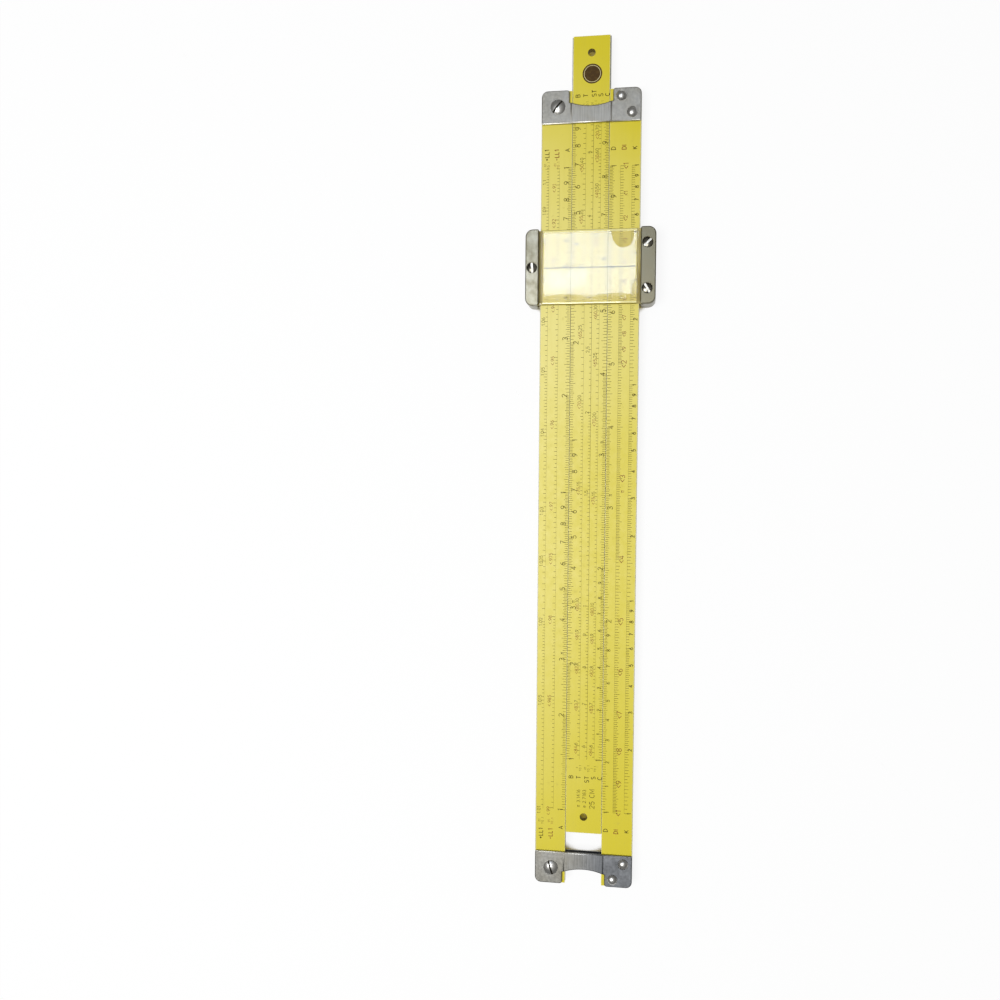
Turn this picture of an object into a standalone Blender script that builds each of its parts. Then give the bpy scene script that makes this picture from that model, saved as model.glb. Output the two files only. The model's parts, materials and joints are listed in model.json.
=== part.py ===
# A duplex slide rule of painted metal. Two stators are held apart by a pair of end brackets on
# each face. The slide runs in grooves between them, and the cursor, with a clear window over each
# face, runs along the outside.
#
# X runs along the rule from the left index to the right one, Y across it towards the upper stator,
# and Z out of the front face. The rule lies on its back on the cursor's rear plates. Lengths are
# in metres. The origin is under the middle of the whole outline, on the surface it lies on.

import math

import bmesh
import bpy
from mathutils import Matrix
from mathutils import Vector

# Stators
body_length = 0.3084
body_width = 0.0381
body_thickness = 0.0032
body_corner_radius = 0.0025
face_edge_bevel = 0.00015
groove_depth = 0.00055

# Slide
slide_length = 0.3084
slide_face_width = 0.01405
slide_side_clearance = 0.0001
slide_offset = 0.0001
tongue_depth = 0.0004
tongue_thickness = 0.0010
tongue_clearance = 0.0001
slide_hole_diameter = 0.0030
slide_hole_inset = 0.0064

# Where the moving pieces stand
scale_length = 0.250
slide_shift = 0.0204
hairline_distance = 0.21165

# Gaps between pieces that touch
seat_gap = 0.0002
hole_clearance = 0.0002

# End brackets
front_bracket_length = 0.0127
rear_bracket_length = 0.0119
bracket_thickness = 0.0008
bracket_edge_radius = 0.0004
bracket_outer_corner_radius = 0.0024
bracket_inner_corner_radius = 0.0008
bridge_lift = 0.0003
bridge_bend_width = 0.0006
bridge_bend_inset = 0.0003
notch_width = 0.0165
notch_wall_depth = 0.0046
notch_arc_depth = 0.0016
notch_corner_radius = 0.0010

# Clamp screws and their post nuts, through the upper stator. The share is of that bar's width,
# from the slide outwards.
clamp_inset = 0.0063
clamp_across_share = 0.47
clamp_head_diameter = 0.0056
clamp_head_rim = 0.0002
clamp_head_dome = 0.0009
clamp_shank_diameter = 0.0020
clamp_thread_overlap = 0.0024
clamp_slot_width = 0.0009
clamp_slot_depth = 0.0006
left_clamp_slot_angle = math.radians(18.0)
right_clamp_slot_angle = math.radians(-40.0)
post_head_diameter = 0.0050
post_head_rim = 0.0002
post_head_dome = 0.0005
post_sleeve_diameter = 0.0032

# Rivets, through the lower stator, with the same share of its width
outer_rivet_inset = 0.0030
outer_rivet_across_share = 0.364
inner_rivet_inset = 0.0094
inner_rivet_across_share = 0.705
rivet_head_diameter = 0.0040
rivet_head_rim = 0.0001
rivet_head_dome = 0.0010
rivet_shank_diameter = 0.0020

# Cursor rails
rail_length = 0.0292
upper_rail_overhang = 0.00555
lower_rail_overhang = 0.00615
lower_rail_clearance = 0.00015
spring_space = 0.0009
rail_corner_radius = 0.0028
rail_inner_corner_radius = 0.0007

# Cursor windows
window_length = 0.0284
window_clearance = 0.0006
flange_thickness = 0.0012
flange_past_edge = 0.00135
field_inside_edge = 0.0011
field_rise = 0.0007
field_crown = 0.00015
window_edge_bevel = 0.0003

# Cursor edge plates
plate_thickness = 0.0014
plate_past_edge = 0.00035
plate_edge_radius = 0.0004

# Cursor screws
cursor_screw_past_edge = 0.00295
cursor_screw_spacing = 0.0172
cursor_screw_head_diameter = 0.0040
cursor_screw_head_rim = 0.0003
cursor_screw_head_dome = 0.0002
cursor_screw_shank_diameter = 0.0018
cursor_screw_shank_length = 0.0034
cursor_screw_slot_width = 0.0007
cursor_screw_slot_depth = 0.0003
counterbore_depth = 0.0008
counterbore_clearance = 0.00015
cursor_slot_angles = (math.radians(4.0), math.radians(30.0), math.radians(-45.0))

# Cursor tension spring
spring_length = 0.0240
spring_thickness = 0.0002
spring_height = 0.0024
spring_clearance = 0.0002

# What every cut runs past the face that it opens
overrun = 0.0010

# How near two coordinates are to be one
touch = 0.000001

# Facets
corner_steps = 6
notch_steps = 14
crown_steps = 8
dome_steps = 4
head_segments = 24
hole_segments = 20
spring_steps = 12
bevel_steps = 2

# Places worked out from the sizes above
half_body = body_length / 2
half_width = body_width / 2
half_thickness = body_thickness / 2
half_channel = slide_face_width / 2 + slide_side_clearance
half_groove = tongue_thickness / 2 + tongue_clearance
upper_bar_inner = half_channel + slide_offset
lower_bar_inner = half_channel - slide_offset

bracket_seat = half_thickness + seat_gap
bracket_face = bracket_seat + bracket_thickness

window_seat = half_thickness + window_clearance
flange_face = window_seat + flange_thickness
plate_seat = flange_face + seat_gap
plate_face = plate_seat + plate_thickness
rail_face = flange_face
rebate_floor = window_seat - seat_gap
flange_half_width = half_width + flange_past_edge
field_half_width = half_width - field_inside_edge
rebate_wall = flange_half_width + seat_gap

plate_inner_edge = half_width + plate_past_edge
upper_rail_inner = half_width + spring_space
upper_rail_outer = half_width + upper_rail_overhang
lower_rail_inner = half_width + lower_rail_clearance
lower_rail_outer = half_width + lower_rail_overhang

overall_length = (body_length + slide_length) / 2 + slide_shift
body_x = overall_length / 2 - slide_length / 2 - slide_shift
slide_x = body_x + slide_shift
cursor_x = body_x - scale_length / 2 + hairline_distance
centre_y = (lower_rail_outer - upper_rail_outer) / 2
centre_z = plate_face

# Colours of the enamel, the brackets, the fasteners and the cursor
FINISHES = {
    "yellow_enamel": ((0.68, 0.60, 0.09), 0.38, 0.0, 1.0),
    "bracket_steel": ((0.46, 0.46, 0.46), 0.34, 1.0, 1.0),
    "fastener_steel": ((0.55, 0.54, 0.52), 0.25, 1.0, 1.0),
    "cursor_metal": ((0.44, 0.42, 0.39), 0.42, 1.0, 1.0),
    "cursor_steel": ((0.44, 0.42, 0.39), 0.36, 1.0, 1.0),
    "clear_window": ((0.93, 0.90, 0.70), 0.08, 0.0, 0.30),
    "spring_steel": ((0.50, 0.50, 0.52), 0.30, 1.0, 1.0),
}


def clear_scene():
    for item in list(bpy.data.objects):
        bpy.data.objects.remove(item, do_unlink=True)


def finish(name):
    material = bpy.data.materials.get(name)
    if material is None:
        colour, roughness, metallic, alpha = FINISHES[name]
        material = bpy.data.materials.new(name)
        material.use_nodes = True
        shader = material.node_tree.nodes["Principled BSDF"]
        shader.inputs["Base Color"].default_value = (*colour, 1.0)
        shader.inputs["Roughness"].default_value = roughness
        shader.inputs["Metallic"].default_value = metallic
        shader.inputs["Alpha"].default_value = alpha
    return material


def make_empty(name, x, y, z):
    empty = bpy.data.objects.new(name, None)
    empty.location = (x, y, z)
    bpy.context.scene.collection.objects.link(empty)
    return empty


def make_object(name, shape, parent, material_name=None, place=(0, 0, 0)):
    mesh = bpy.data.meshes.new(name)
    bmesh.ops.recalc_face_normals(shape, faces=shape.faces)
    shape.to_mesh(mesh)
    shape.free()
    item = bpy.data.objects.new(name, mesh)
    item.location = place
    item.parent = parent
    bpy.context.scene.collection.objects.link(item)
    if material_name is None:
        item.hide_render = True
        item.display_type = "WIRE"
    else:
        mesh.materials.append(finish(material_name))
    return item


def shade_round(item):
    item.data.shade_smooth()
    item.data.set_sharp_from_angle(angle=math.radians(35))


def cut(item, cutter):
    modifier = item.modifiers.new("cut " + cutter.name, "BOOLEAN")
    modifier.operation = "DIFFERENCE"
    modifier.solver = "EXACT"
    modifier.object = cutter


# An outline is given by its corners in turn, each with the radius that rounds it.
def rounded_outline(corners):
    outline = []
    for index, (x, y, radius) in enumerate(corners):
        here = Vector((x, y))
        if radius == 0:
            outline.append(here)
            continue
        arriving = (here - Vector(corners[index - 1][:2])).normalized()
        leaving = (Vector(corners[(index + 1) % len(corners)][:2]) - here).normalized()
        turn = math.atan2(arriving.cross(leaving), arriving.dot(leaving))
        start = here - arriving * radius * math.tan(abs(turn) / 2)
        centre = start + Vector((-arriving.y, arriving.x)) * math.copysign(radius, turn)
        for step in range(corner_steps + 1):
            outline.append(centre + Matrix.Rotation(turn * step / corner_steps, 2) @ (start - centre))
    return outline


# An outline in X and Y grows along Z; one in Y and Z grows along X.
def extruded(outline, low, high, along="Z"):
    shape = bmesh.new()
    if along == "Z":
        corners = [(a, b, low) for a, b in outline]
        growth = (0, 0, high - low)
    else:
        corners = [(low, a, b) for a, b in outline]
        growth = (high - low, 0, 0)
    base = shape.faces.new([shape.verts.new(corner) for corner in corners])
    grown = bmesh.ops.extrude_face_region(shape, geom=[base])
    moved = [item for item in grown["geom"] if isinstance(item, bmesh.types.BMVert)]
    bmesh.ops.translate(shape, verts=moved, vec=growth)
    return shape


def soften(shape, width, chosen):
    bmesh.ops.recalc_face_normals(shape, faces=shape.faces)
    edges = [edge for edge in shape.edges if all(chosen(vert.co) for vert in edge.verts)]
    bmesh.ops.bevel(
        shape,
        geom=edges,
        offset=width,
        offset_type="OFFSET",
        segments=bevel_steps,
        profile=0.5,
        affect="EDGES",
        clamp_overlap=True,
    )
    bmesh.ops.remove_doubles(shape, verts=shape.verts, dist=touch)


def add_box(shape, low, high):
    size = [b - a for a, b in zip(low, high)]
    middle = [(a + b) / 2 for a, b in zip(low, high)]
    matrix = Matrix.Translation(middle) @ Matrix.Diagonal((*size, 1))
    bmesh.ops.create_cube(shape, size=1, matrix=matrix)


# A profile of radii and heights, spun round an upright axis at each place.
def add_turned(shape, profile, segments, places=((0, 0),)):
    for x, y in places:
        verts = [shape.verts.new((x + radius, y, height)) for radius, height in profile]
        edges = [shape.edges.new(pair) for pair in zip(verts, verts[1:])]
        bmesh.ops.spin(
            shape,
            geom=verts + edges,
            cent=(x, y, 0),
            axis=(0, 0, 1),
            angle=math.tau,
            steps=segments,
        )
    bmesh.ops.remove_doubles(shape, verts=shape.verts, dist=touch)


def turned(profile):
    shape = bmesh.new()
    add_turned(shape, profile, head_segments)
    return shape


def plain_bore(radius, low, high):
    return [(0, high), (radius, high), (radius, low), (0, low)]


def dome(diameter, rim, rise):
    ball = (diameter**2 / 4 + rise**2) / (2 * rise)
    spread = math.asin(diameter / 2 / ball)
    profile = []
    for step in range(dome_steps + 1):
        angle = spread * step / dome_steps
        profile.append((ball * math.sin(angle), rim + rise - ball * (1 - math.cos(angle))))
    profile.append((diameter / 2, 0))
    return profile


def screw_shape(head, shank_diameter, shank_length):
    shank = shank_diameter / 2
    return turned(head + [(shank, 0), (shank, -shank_length), (0, -shank_length)])


def cut_slot(screw, width, floor, reach):
    shape = bmesh.new()
    add_box(shape, (-reach, -width / 2, floor), (reach, width / 2, floor + overrun))
    cut(screw, make_object("cutter " + screw.name, shape, screw))


# Where each end of the frame is held: the clamp screw on the upper stator and two rivets on the
# lower one. Side is 1 at the right end and -1 at the left.
def clamp_place(side):
    across = upper_bar_inner + clamp_across_share * (half_width - upper_bar_inner)
    return side * (half_body - clamp_inset), across


def rivet_places(side):
    places = []
    for inset, share in (
        (outer_rivet_inset, outer_rivet_across_share),
        (inner_rivet_inset, inner_rivet_across_share),
    ):
        across = lower_bar_inner + share * (half_width - lower_bar_inner)
        places.append((side * (half_body - inset), -across))
    return places


def make_stator(name, frame, side, inner):
    near = side * inner
    far = side * half_width
    corners = [
        (-half_body, near, 0),
        (half_body, near, 0),
        (half_body, far, body_corner_radius),
        (-half_body, far, body_corner_radius),
    ]
    shape = extruded(rounded_outline(corners), -half_thickness, half_thickness)
    soften(shape, face_edge_bevel, lambda place: abs(abs(place.z) - half_thickness) < touch)
    stator = make_object(name, shape, frame, "yellow_enamel")

    tools = bmesh.new()
    ends = sorted((near - side * overrun, near + side * groove_depth))
    add_box(
        tools,
        (-half_body - overrun, ends[0], -half_groove),
        (half_body + overrun, ends[1], half_groove),
    )
    reach = half_thickness + overrun
    if side > 0:
        radius = post_sleeve_diameter / 2 + hole_clearance
        places = [clamp_place(1), clamp_place(-1)]
    else:
        radius = rivet_shank_diameter / 2 + hole_clearance
        places = rivet_places(1) + rivet_places(-1)
    add_turned(tools, plain_bore(radius, -reach, reach), hole_segments, places)
    cut(stator, make_object("cutter " + name, tools, frame))


def make_slide(carriage):
    half_face = slide_face_width / 2
    half_span = half_face + tongue_depth
    half_tongue = tongue_thickness / 2
    quarter = [
        (half_face, half_thickness),
        (half_face, half_tongue),
        (half_span, half_tongue),
    ]
    profile = quarter + [(y, -z) for y, z in reversed(quarter)]
    profile += [(-y, -z) for y, z in quarter] + [(-y, z) for y, z in reversed(quarter)]
    shape = extruded(profile, -slide_length / 2, slide_length / 2, "X")
    soften(shape, face_edge_bevel, lambda place: abs(abs(place.z) - half_thickness) < touch)
    slide = make_object("slide", shape, carriage, "yellow_enamel")

    tools = bmesh.new()
    reach = half_thickness + overrun
    hole_x = slide_length / 2 - slide_hole_inset
    bore = plain_bore(slide_hole_diameter / 2, -reach, reach)
    add_turned(tools, bore, hole_segments, [(hole_x, 0), (-hole_x, 0)])
    cut(slide, make_object("cutter slide", tools, carriage))


# The plate's outline, with its outer end towards +X. The notch leaves a lobe at each side, and its
# floor is an arc.
def bracket_outline(length):
    outer = half_body
    inner = half_body - length
    wall = notch_width / 2
    floor = outer - notch_wall_depth
    ball = (wall**2 + notch_arc_depth**2) / (2 * notch_arc_depth)
    spread = math.asin(wall / ball)
    arc = []
    for step in range(notch_steps + 1):
        angle = spread * (2 * step / notch_steps - 1)
        arc.append((floor - notch_arc_depth + ball * (1 - math.cos(angle)), ball * math.sin(angle), 0))
    corners = [
        (inner, -half_width, bracket_inner_corner_radius),
        (outer, -half_width, bracket_outer_corner_radius),
        (outer, -wall, notch_corner_radius),
        *arc,
        (outer, wall, notch_corner_radius),
        (outer, half_width, bracket_outer_corner_radius),
        (inner, half_width, bracket_inner_corner_radius),
    ]
    return rounded_outline(corners)


# The middle of the plate is pressed up a little, clear of the slide, with a bend at each side.
def lift_bridge(shape):
    foot = notch_width / 2 - bridge_bend_inset
    crest = foot - bridge_bend_width
    for level in (-foot, -crest, crest, foot):
        bmesh.ops.bisect_plane(
            shape,
            geom=shape.verts[:] + shape.edges[:] + shape.faces[:],
            dist=touch,
            plane_co=(0, level, 0),
            plane_no=(0, 1, 0),
        )
    for vert in shape.verts:
        rise_share = (foot - abs(vert.co.y)) / bridge_bend_width
        vert.co.z += bridge_lift * min(max(rise_share, 0), 1)


def make_bracket(name, frame, side, face):
    length = front_bracket_length if face > 0 else rear_bracket_length
    shape = extruded(bracket_outline(length), bracket_seat, bracket_face)
    soften(shape, bracket_edge_radius, lambda place: abs(place.z - bracket_face) < touch)
    lift_bridge(shape)
    bmesh.ops.scale(shape, vec=(side, 1, face), verts=shape.verts)
    bracket = make_object(name, shape, frame, "bracket_steel")

    tools = bmesh.new()
    low, high = sorted((face * (bracket_seat - overrun), face * (bracket_face + overrun)))
    through = clamp_shank_diameter if face > 0 else post_sleeve_diameter
    bore = plain_bore(through / 2 + hole_clearance, low, high)
    add_turned(tools, bore, hole_segments, [clamp_place(side)])
    bore = plain_bore(rivet_shank_diameter / 2 + hole_clearance, low, high)
    add_turned(tools, bore, hole_segments, rivet_places(side))
    cut(bracket, make_object("cutter " + name, tools, frame))


def make_clamp(end, frame, side, slot_angle):
    x, y = clamp_place(side)
    seat = bracket_face + seat_gap
    sleeve_top = half_thickness - seat_gap
    shank_length = seat - sleeve_top + clamp_thread_overlap
    head = dome(clamp_head_diameter, clamp_head_rim, clamp_head_dome)
    shape = screw_shape(head, clamp_shank_diameter, shank_length)
    screw = make_object(end + "_clamp_screw", shape, frame, "fastener_steel", (x, y, seat))
    screw.rotation_euler.z = slot_angle
    slot_floor = clamp_head_rim + clamp_head_dome - clamp_slot_depth
    cut_slot(screw, clamp_slot_width, slot_floor, clamp_head_diameter)

    sleeve = post_sleeve_diameter / 2
    bore = clamp_shank_diameter / 2 + hole_clearance
    sleeve_length = seat + sleeve_top
    bore_floor = sleeve_length - clamp_thread_overlap - hole_clearance
    profile = dome(post_head_diameter, post_head_rim, post_head_dome)
    profile += [(sleeve, 0), (sleeve, -sleeve_length), (bore, -sleeve_length)]
    profile += [(bore, -bore_floor), (0, -bore_floor)]
    nut = make_object(end + "_post_nut", turned(profile), frame, "fastener_steel", (x, y, -seat))
    nut.rotation_euler.x = math.pi
    shade_round(screw)
    shade_round(nut)


def make_rivets(end, frame, side):
    seat = bracket_face + seat_gap
    span = 2 * seat
    head = dome(rivet_head_diameter, rivet_head_rim, rivet_head_dome)
    shank = rivet_shank_diameter / 2
    profile = head + [(shank, 0), (shank, -span)]
    profile += [(radius, -span - height) for radius, height in reversed(head)]
    for place, (x, y) in zip(("outer", "inner"), rivet_places(side)):
        name = end + "_" + place + "_rivet"
        shade_round(make_object(name, turned(profile), frame, "fastener_steel", (x, y, seat)))


def make_window(name, carriage, face):
    field_edge = flange_face + field_rise
    half = window_length / 2
    crown = []
    for step in range(crown_steps + 1):
        share = 1 - 2 * step / crown_steps
        crown.append((field_half_width * share, field_edge + field_crown * (1 - share**2)))
    profile = [
        (-flange_half_width, window_seat),
        (flange_half_width, window_seat),
        (flange_half_width, flange_face),
        (field_half_width, flange_face),
        *crown,
        (-field_half_width, flange_face),
        (-flange_half_width, flange_face),
    ]
    shape = extruded(profile, -half, half, "X")
    soften(
        shape,
        window_edge_bevel,
        lambda place: abs(abs(place.x) - half) < touch and place.z > field_edge - touch,
    )
    bmesh.ops.scale(shape, vec=(1, 1, face), verts=shape.verts)
    make_object(name, shape, carriage, "clear_window")


def screw_places(side):
    out = half_width + cursor_screw_past_edge
    if side > 0:
        return [(0, out)]
    return [(-cursor_screw_spacing / 2, -out), (cursor_screw_spacing / 2, -out)]


def block_outline(side, inner, outer):
    half = rail_length / 2
    corners = [
        (-half, side * inner, rail_inner_corner_radius),
        (half, side * inner, rail_inner_corner_radius),
        (half, side * outer, rail_corner_radius),
        (-half, side * outer, rail_corner_radius),
    ]
    return rounded_outline(corners)


def make_rail(name, carriage, side, inner, outer):
    shape = extruded(block_outline(side, inner, outer), -rail_face, rail_face)
    rail = make_object(name, shape, carriage, "cursor_metal")

    tools = bmesh.new()
    across = sorted((side * (inner - overrun), side * rebate_wall))
    along = rail_length / 2 + overrun
    for face in (1, -1):
        up = sorted((face * rebate_floor, face * (rail_face + overrun)))
        add_box(tools, (-along, across[0], up[0]), (along, across[1], up[1]))
    reach = rail_face + overrun
    bore = plain_bore(cursor_screw_shank_diameter / 2 + hole_clearance, -reach, reach)
    add_turned(tools, bore, hole_segments, screw_places(side))
    cut(rail, make_object("cutter " + name, tools, carriage))


def make_edge_plate(name, carriage, side, face, outer):
    shape = extruded(block_outline(side, plate_inner_edge, outer), plate_seat, plate_face)
    soften(shape, plate_edge_radius, lambda place: abs(place.z - plate_face) < touch)
    bmesh.ops.scale(shape, vec=(1, 1, face), verts=shape.verts)
    plate = make_object(name, shape, carriage, "cursor_steel")

    bore = cursor_screw_shank_diameter / 2 + hole_clearance
    counterbore = cursor_screw_head_diameter / 2 + counterbore_clearance
    step = plate_face - counterbore_depth
    profile = [
        (0, face * (plate_face + overrun)),
        (counterbore, face * (plate_face + overrun)),
        (counterbore, face * step),
        (bore, face * step),
        (bore, face * (plate_seat - overrun)),
        (0, face * (plate_seat - overrun)),
    ]
    tools = bmesh.new()
    add_turned(tools, profile, hole_segments, screw_places(side))
    cut(plate, make_object("cutter " + name, tools, carriage))


def make_cursor_screw(name, carriage, place, face, slot_angle):
    seat = plate_face - counterbore_depth + seat_gap
    head = dome(cursor_screw_head_diameter, cursor_screw_head_rim, cursor_screw_head_dome)
    shape = screw_shape(head, cursor_screw_shank_diameter, cursor_screw_shank_length)
    x, y = place
    screw = make_object(name, shape, carriage, "fastener_steel", (x, y, face * seat))
    if face < 0:
        screw.rotation_euler.x = math.pi
    screw.rotation_euler.z = slot_angle
    slot_floor = cursor_screw_head_rim + cursor_screw_head_dome - cursor_screw_slot_depth
    cut_slot(screw, cursor_screw_slot_width, slot_floor, cursor_screw_head_diameter)
    shade_round(screw)


# A strip bowed towards the stator in the middle and bearing on the rail at its ends.
def make_spring(carriage):
    half = spring_length / 2
    middle = half_width + spring_clearance
    bow = upper_rail_inner - seat_gap - spring_thickness - middle
    near = []
    for step in range(spring_steps + 1):
        share = 2 * step / spring_steps - 1
        near.append((half * share, middle + bow * share**2))
    far = [(x, y + spring_thickness) for x, y in reversed(near)]
    shape = extruded(near + far, -spring_height / 2, spring_height / 2)
    make_object("cursor_tension_spring", shape, carriage, "spring_steel")


def make_frame():
    frame = make_empty("stator_frame", body_x, centre_y, centre_z)
    make_stator("upper_stator", frame, 1, upper_bar_inner)
    make_stator("lower_stator", frame, -1, lower_bar_inner)
    for end, side, slot_angle in (
        ("left", -1, left_clamp_slot_angle),
        ("right", 1, right_clamp_slot_angle),
    ):
        make_bracket(end + "_front_bracket", frame, side, 1)
        make_bracket(end + "_rear_bracket", frame, side, -1)
        make_clamp(end, frame, side, slot_angle)
        make_rivets(end, frame, side)


def make_cursor():
    carriage = make_empty("cursor_carriage", cursor_x, centre_y, centre_z)
    rails = (
        ("upper", 1, upper_rail_inner, upper_rail_outer),
        ("lower", -1, lower_rail_inner, lower_rail_outer),
    )
    for row, side, inner, outer in rails:
        make_rail("cursor_" + row + "_rail", carriage, side, inner, outer)
    for view, face in (("front", 1), ("rear", -1)):
        make_window("cursor_" + view + "_window", carriage, face)
        for row, side, inner, outer in rails:
            make_edge_plate("cursor_" + row + "_" + view + "_plate", carriage, side, face, outer)
        places = screw_places(1) + screw_places(-1)
        names = ("upper", "lower_left", "lower_right")
        for row, place, slot_angle in zip(names, places, cursor_slot_angles):
            make_cursor_screw("cursor_" + view + "_screw_" + row, carriage, place, face, slot_angle)
    make_spring(carriage)


clear_scene()
make_frame()
make_slide(make_empty("slide_carriage", slide_x, centre_y + slide_offset, centre_z))
make_cursor()
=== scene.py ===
"""Looks of a duplex slide rule: finishes, printed scales, finer fasteners and clear windows.

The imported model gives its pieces' sizes and places. Lengths are in metres. +X runs along the rule, +Y
across it and +Z out of its front face.
"""

import json
import math

import bmesh
import bpy
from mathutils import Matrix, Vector


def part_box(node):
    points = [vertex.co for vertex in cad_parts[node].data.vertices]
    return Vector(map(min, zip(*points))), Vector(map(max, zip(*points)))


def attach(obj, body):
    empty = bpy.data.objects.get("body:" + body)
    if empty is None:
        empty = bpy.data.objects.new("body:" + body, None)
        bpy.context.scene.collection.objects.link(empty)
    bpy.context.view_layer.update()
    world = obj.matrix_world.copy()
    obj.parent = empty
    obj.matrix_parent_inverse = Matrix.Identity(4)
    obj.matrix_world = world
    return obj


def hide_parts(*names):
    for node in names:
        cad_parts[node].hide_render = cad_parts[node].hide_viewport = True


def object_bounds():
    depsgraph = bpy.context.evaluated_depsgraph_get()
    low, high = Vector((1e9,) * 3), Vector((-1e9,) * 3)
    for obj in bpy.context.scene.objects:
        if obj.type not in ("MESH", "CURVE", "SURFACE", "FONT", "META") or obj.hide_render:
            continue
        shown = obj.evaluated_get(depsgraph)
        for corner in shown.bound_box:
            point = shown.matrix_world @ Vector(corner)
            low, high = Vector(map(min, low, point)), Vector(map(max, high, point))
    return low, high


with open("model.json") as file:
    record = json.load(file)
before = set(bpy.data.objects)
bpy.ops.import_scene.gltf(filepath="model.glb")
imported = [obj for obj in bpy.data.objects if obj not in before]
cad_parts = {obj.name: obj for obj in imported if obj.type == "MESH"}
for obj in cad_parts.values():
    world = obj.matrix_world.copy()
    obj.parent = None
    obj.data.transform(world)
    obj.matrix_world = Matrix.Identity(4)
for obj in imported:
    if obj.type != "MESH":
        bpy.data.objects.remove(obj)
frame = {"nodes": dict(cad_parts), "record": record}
cad_low, cad_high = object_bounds()

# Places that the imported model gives
upper_low, upper_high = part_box("upper_stator")
lower_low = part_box("lower_stator")[0]
slide_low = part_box("slide")[0]
body_length = upper_high.x - upper_low.x
half_width = (upper_high.y - lower_low.y) / 2
centre_y = (upper_high.y + lower_low.y) / 2
centre_z = (upper_high.z + upper_low.z) / 2
half_thickness = (upper_high.z - upper_low.z) / 2

# The scales: their length, where the left index lies on the bars and on the slide, and how far from
# the centre line the slide's seams run
scale_length = 0.25
index_inset = (body_length - scale_length) / 2
stator_index = upper_low.x + index_inset
slide_index = slide_low.x + index_inset
upper_seam = 0.00722
lower_seam = -0.00702
seam_inset = 0.00016

# Ink
ink_sunk = 0.00002
ink_proud = 0.000012
join_distance = 0.00003
mitre_limit = 0.5
tick_width = 0.00014
line_width = 0.00005
strong_line_width = 0.0001
stroke_share = 0.11
bold_stroke_share = 0.16
letter_gap_share = 0.26
large_ticks = (0.0012, 0.0016, 0.00205)
small_ticks = (0.00078, 0.00108, 0.0013)
label_height = 0.0016
digit_height = 0.0019
small_digit_height = 0.0014
value_height = 0.00125
note_height = 0.0008
note_pitch = 1.6
side_gap = 0.0003
arc_step = 24

# Rows of the front face, measured from the centre line: the line that the ticks stand on, the middle
# of the numbers and the middle of the names
ll_plus_rows = (0.0161, 0.01775, 0.0169)
ll_minus_rows = (0.012, 0.014, 0.0131)
a_rows = (upper_seam + seam_inset, 0.00925, 0.009)
b_rows = (upper_seam - seam_inset, 0.00505, 0.0052)
t_rows = (0.00195, 0.00345, 0.0022)
st_rows = (-0.00095, 0.00045, -0.001)
s_rows = (-0.00385, -0.0024, -0.00355)
c_rows = (lower_seam + seam_inset, -0.00535, -0.00605)
d_rows = (lower_seam - seam_inset, -0.00885, -0.00855)
di_rows = (-0.01135, -0.01345, -0.0126)
k_rows = (-0.0157, -0.0176, -0.0167)

# Rows that only the rear face has, in the same way, with the rule turned over about its length
ll2_minus_rows = (0.012, 0.01385, 0.0131)
cif_rows = (0.00195, 0.00345, 0.0027)
linear_rows = (-0.00095, 0.00045, -0.0003)
ci_rows = (-0.00385, -0.0024, -0.0031)
ll3_minus_rows = (-0.0115, -0.0133, -0.0124)
ll3_plus_rows = (-0.0157, -0.01745, -0.0166)

# How far outside the left and the right index a name starts, and the middle of its note stands
plain_gaps = ((0.0066, 0.0035), (0.0062, 0.0033))
log_log_gaps = ((0.0078, 0.0048), (0.003, 0.00115))

# The disc near the slide's right end, and the plain numbers near its left end
disc_radius = 0.00375
disc_beyond_index = 0.01485
disc_offset = -0.0002
disc_ring_radius = 0.0031
disc_ring_width = 0.00022
disc_steps = 64
constants = (
    ("π 3.1416", 0.0022, value_height),
    ("e 2.7183", -0.0001, value_height),
    ("25 CM", -0.0031, digit_height),
)
constants_gap = 0.0155

# Fasteners
turned_segments = 64
dome_steps = 10
touch = 0.000001
wall_normal = 0.5
head_seat = 0.0028
clamp_rim = 0.0002
clamp_shank = 0.001
clamp_slot = (0.0007, 0.001)
clamp_slot_angles = {"left": 18, "right": -40}
post_rim = 0.0002
post_sleeve = 0.0016
post_slot = (0.0007, 0.00035)
thread_gap = 0.00007
rivet_rim = 0.0001
rivet_shank = 0.001
cursor_rim = 0.0001
cursor_dome = 0.0004
cursor_shank = 0.0009
cursor_slot = (0.0008, 0.00035)
cursor_slot_angles = {"upper": 4, "lower_left": 30, "lower_right": -45}

# Windows
field_half = 0.01795
field_side_width = 0.0004
field_side_shares = (0.35, 0.7, 1)
flange_thickness = 0.0012
window_edge_radius = 0.0003
window_along_steps = 48
window_across_steps = 72
window_crown = 0.00015
window_wave = 0.000012
window_wave_length = 0.021
window_wave_phase = 1.3
droop_start = (0.0068, -0.0128)
droop_length = 0.0075
droop_half_width = 0.0044
droop_depth = 0.00024
droop_round = 0.4
hairline_width = 0.00022
hairline_thickness = 0.00002
hairline_inset = 0.0012

# Where the windows' colour changes: across the field's edge, and in from the ends, where a painted highlight
# band ends in a painted shadow line
flange_fade = (field_half - 0.0002, field_half + 0.0003)
painted_end_band = (0.0009, 0.0007)
painted_end_shadow_band = (0.0003, 0.0001)

# The enamel's wear: how deep its edges are chipped, how deep it covers the seams' edges, and where
# across the rule the long edges' wear ends and their paint is thin
paint_margin = 0.00001
chip_depth = 0.00017
seam_cover = 0.0003
wear_end = (half_width - 0.002, half_width - 0.003)
thin_edge = (half_width - 0.0005, half_width - 0.0001)
thin_spread = 0.0002

# Where along the rule a painted sheen pales the enamel, and where that painted sheen leans more to one side
# than to the other
sheen_start = (-0.01, 0.055)
sheen_end = (0.16, 0.07)
sheen_tilt_start = (-0.175, -0.11)
sheen_tilt_end = (0.168, 0.125)
sheen_tilt_across = (-0.016, 0.018)
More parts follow.
